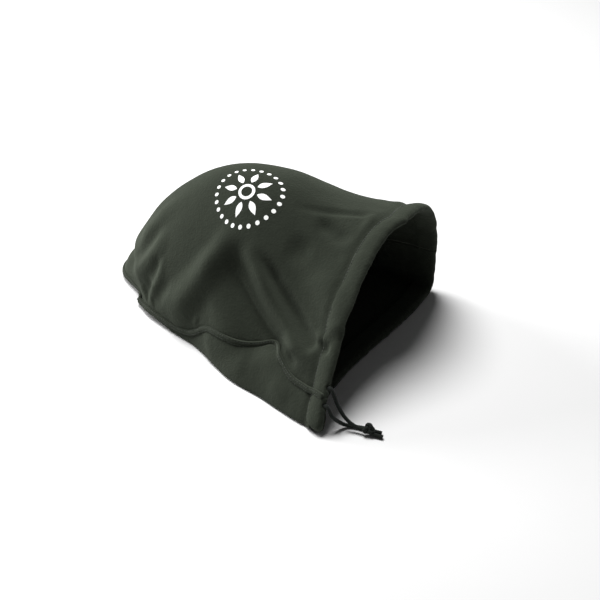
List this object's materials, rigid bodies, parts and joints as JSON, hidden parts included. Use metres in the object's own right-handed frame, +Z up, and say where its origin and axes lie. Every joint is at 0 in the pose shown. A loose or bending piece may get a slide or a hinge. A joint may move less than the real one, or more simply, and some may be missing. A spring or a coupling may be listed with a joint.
{
  "type": "helmet bag",
  "caption": "Soft fleece drawstring bag lying on its side with its mouth open, to carry and protect a helmet; sewn panels, cord tunnel hem and knotted drawcord.",
  "frame": {"origin": "on the underside of the lower panel, where the bag rests, under the middle of the bag", "axes": "+X out of the mouth, +Z up from the floor, -Y to the slack side where the drawcord comes out"},
  "size_m": [0.4835, 0.3722, 0.2098],
  "materials": {
    "fleece_upper": "matte brushed fleece, faded black with a green cast",
    "fleece_lower": "matte brushed fleece, faded black with a green cast",
    "fleece_hem": "matte brushed fleece, turned over and stitched",
    "seam": "turned fleece with two rows of topstitching",
    "cord": "braided matte cord, near black"
  },
  "bodies": {
    "root": {"upper_panel": "fleece_upper", "lower_panel": "fleece_lower", "side_seam": "seam", "upper_hem": "fleece_hem", "lower_hem": "fleece_hem", "drawcord_in_hem": "cord", "drawcord_upper_end": "cord", "drawcord_lower_end": "cord", "drawcord_knot": "cord", "drawcord_tail_a": "cord", "drawcord_tail_b": "cord"}
  },
  "joints": []
}
